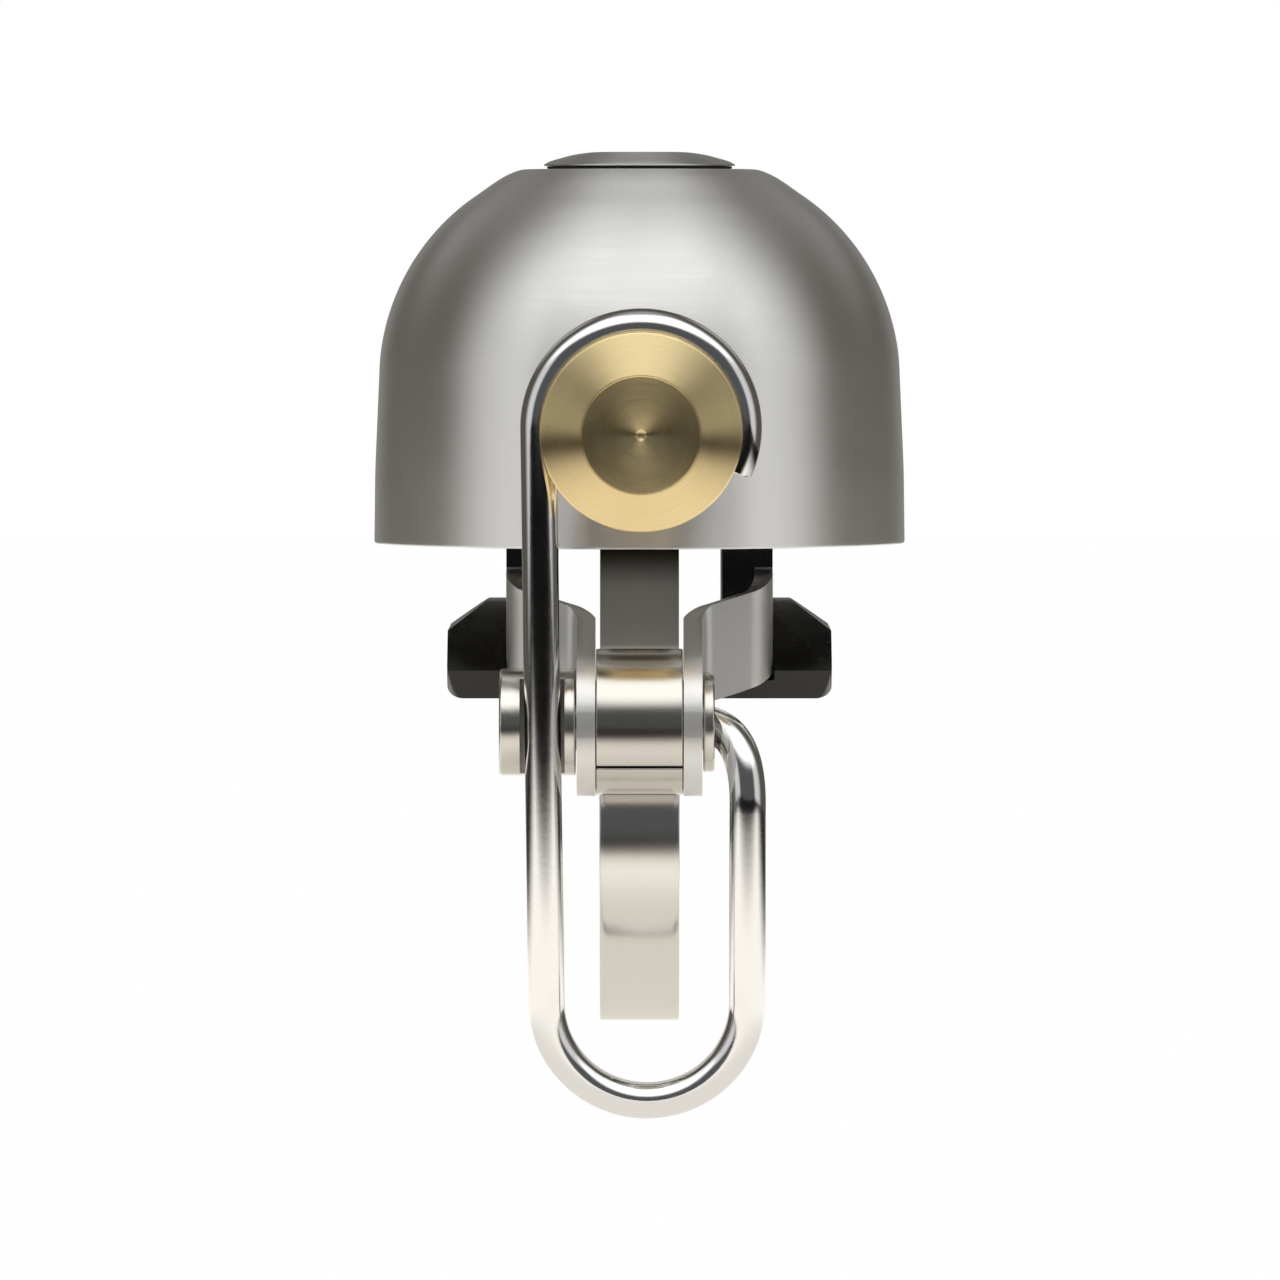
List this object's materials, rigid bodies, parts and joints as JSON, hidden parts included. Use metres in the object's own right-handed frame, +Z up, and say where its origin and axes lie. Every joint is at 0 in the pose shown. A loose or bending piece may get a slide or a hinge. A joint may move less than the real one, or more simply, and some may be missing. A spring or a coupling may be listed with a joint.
{
  "type": "bicycle bell",
  "caption": "Handlebar striker bell: a steel dome over a bracket and split saddle, a strap clamp with a screw tensioner, and a brass hammer held in a sprung wire finger loop.",
  "frame": {"origin": "on the handlebar's axis, at the middle of the clamp band", "axes": "+Z up through the dome, +X along the handlebar, -Y towards the striker and the rider's finger"},
  "size_m": [0.035, 0.0467, 0.0626],
  "materials": {
    "dome_steel": "stainless steel, brushed round the dome",
    "polished_steel": "turned and polished",
    "bracket_steel": "pressed sheet, satin",
    "strap_steel": "rolled strip, bright",
    "spring_steel": "plated spring wire, bright",
    "hammer_brass": "turned, with fine tool marks",
    "fitting_brass": "turned",
    "bush_bronze": "sintered bronze, dull",
    "black_nylon": "moulded, fine grain",
    "black_rubber": "matt"
  },
  "bodies": {
    "frame": {"bracket": "bracket_steel", "dome": "dome_steel", "crown_cap": "polished_steel", "crown_washer": "black_rubber", "dome_washer": "black_nylon", "dome_post": "fitting_brass", "lock_washer": "spring_steel", "post_screw": "polished_steel", "saddle_right": "black_nylon", "saddle_left": "black_nylon", "pad_rivet_right": "polished_steel", "pad_rivet_left": "polished_steel", "bush_right": "bush_bronze", "bush_left": "bush_bronze", "anchor_nut": "polished_steel"},
    "striker": {"striker_wire": "spring_steel", "hammer": "hammer_brass", "striker_axle": "polished_steel", "axle_collar": "polished_steel", "return_spring": "spring_steel"},
    "clamp": {"clamp_band": "strap_steel", "clamp_barrel": "strap_steel"},
    "trunnion": {"trunnion": "fitting_brass"},
    "tension_screw": {"tension_screw": "spring_steel"}
  },
  "joints": [
    {"name": "striker_swing", "type": "hinge", "parent": "frame", "child": "striker", "pos_m": [0, -0.0169, 0.00717], "axis": [1, 0, 0], "range_deg": [-5.5, 20], "stiffness_Nm_per_rad": 0.05},
    {"name": "clamp_hinge", "type": "hinge", "parent": "frame", "child": "clamp", "pos_m": [0, -0.0169, 0.00717], "axis": [1, 0, 0], "range_deg": [-2, 0]},
    {"name": "trunnion_turn", "type": "hinge", "parent": "clamp", "child": "trunnion", "pos_m": [0, 0.0176, 0.0046], "axis": [1, 0, 0], "range_deg": [0, 2]},
    {"name": "screw_turn", "type": "hinge", "parent": "trunnion", "child": "tension_screw", "pos_m": [0, 0.0176, 0.0046], "axis": [0, 0, 1], "range_deg": [-900, 0]}
  ],
  "couplings": [
    {"joint": "clamp_hinge", "follows": "screw_turn", "ratio": 0.00208},
    {"joint": "trunnion_turn", "follows": "screw_turn", "ratio": -0.00208}
  ]
}
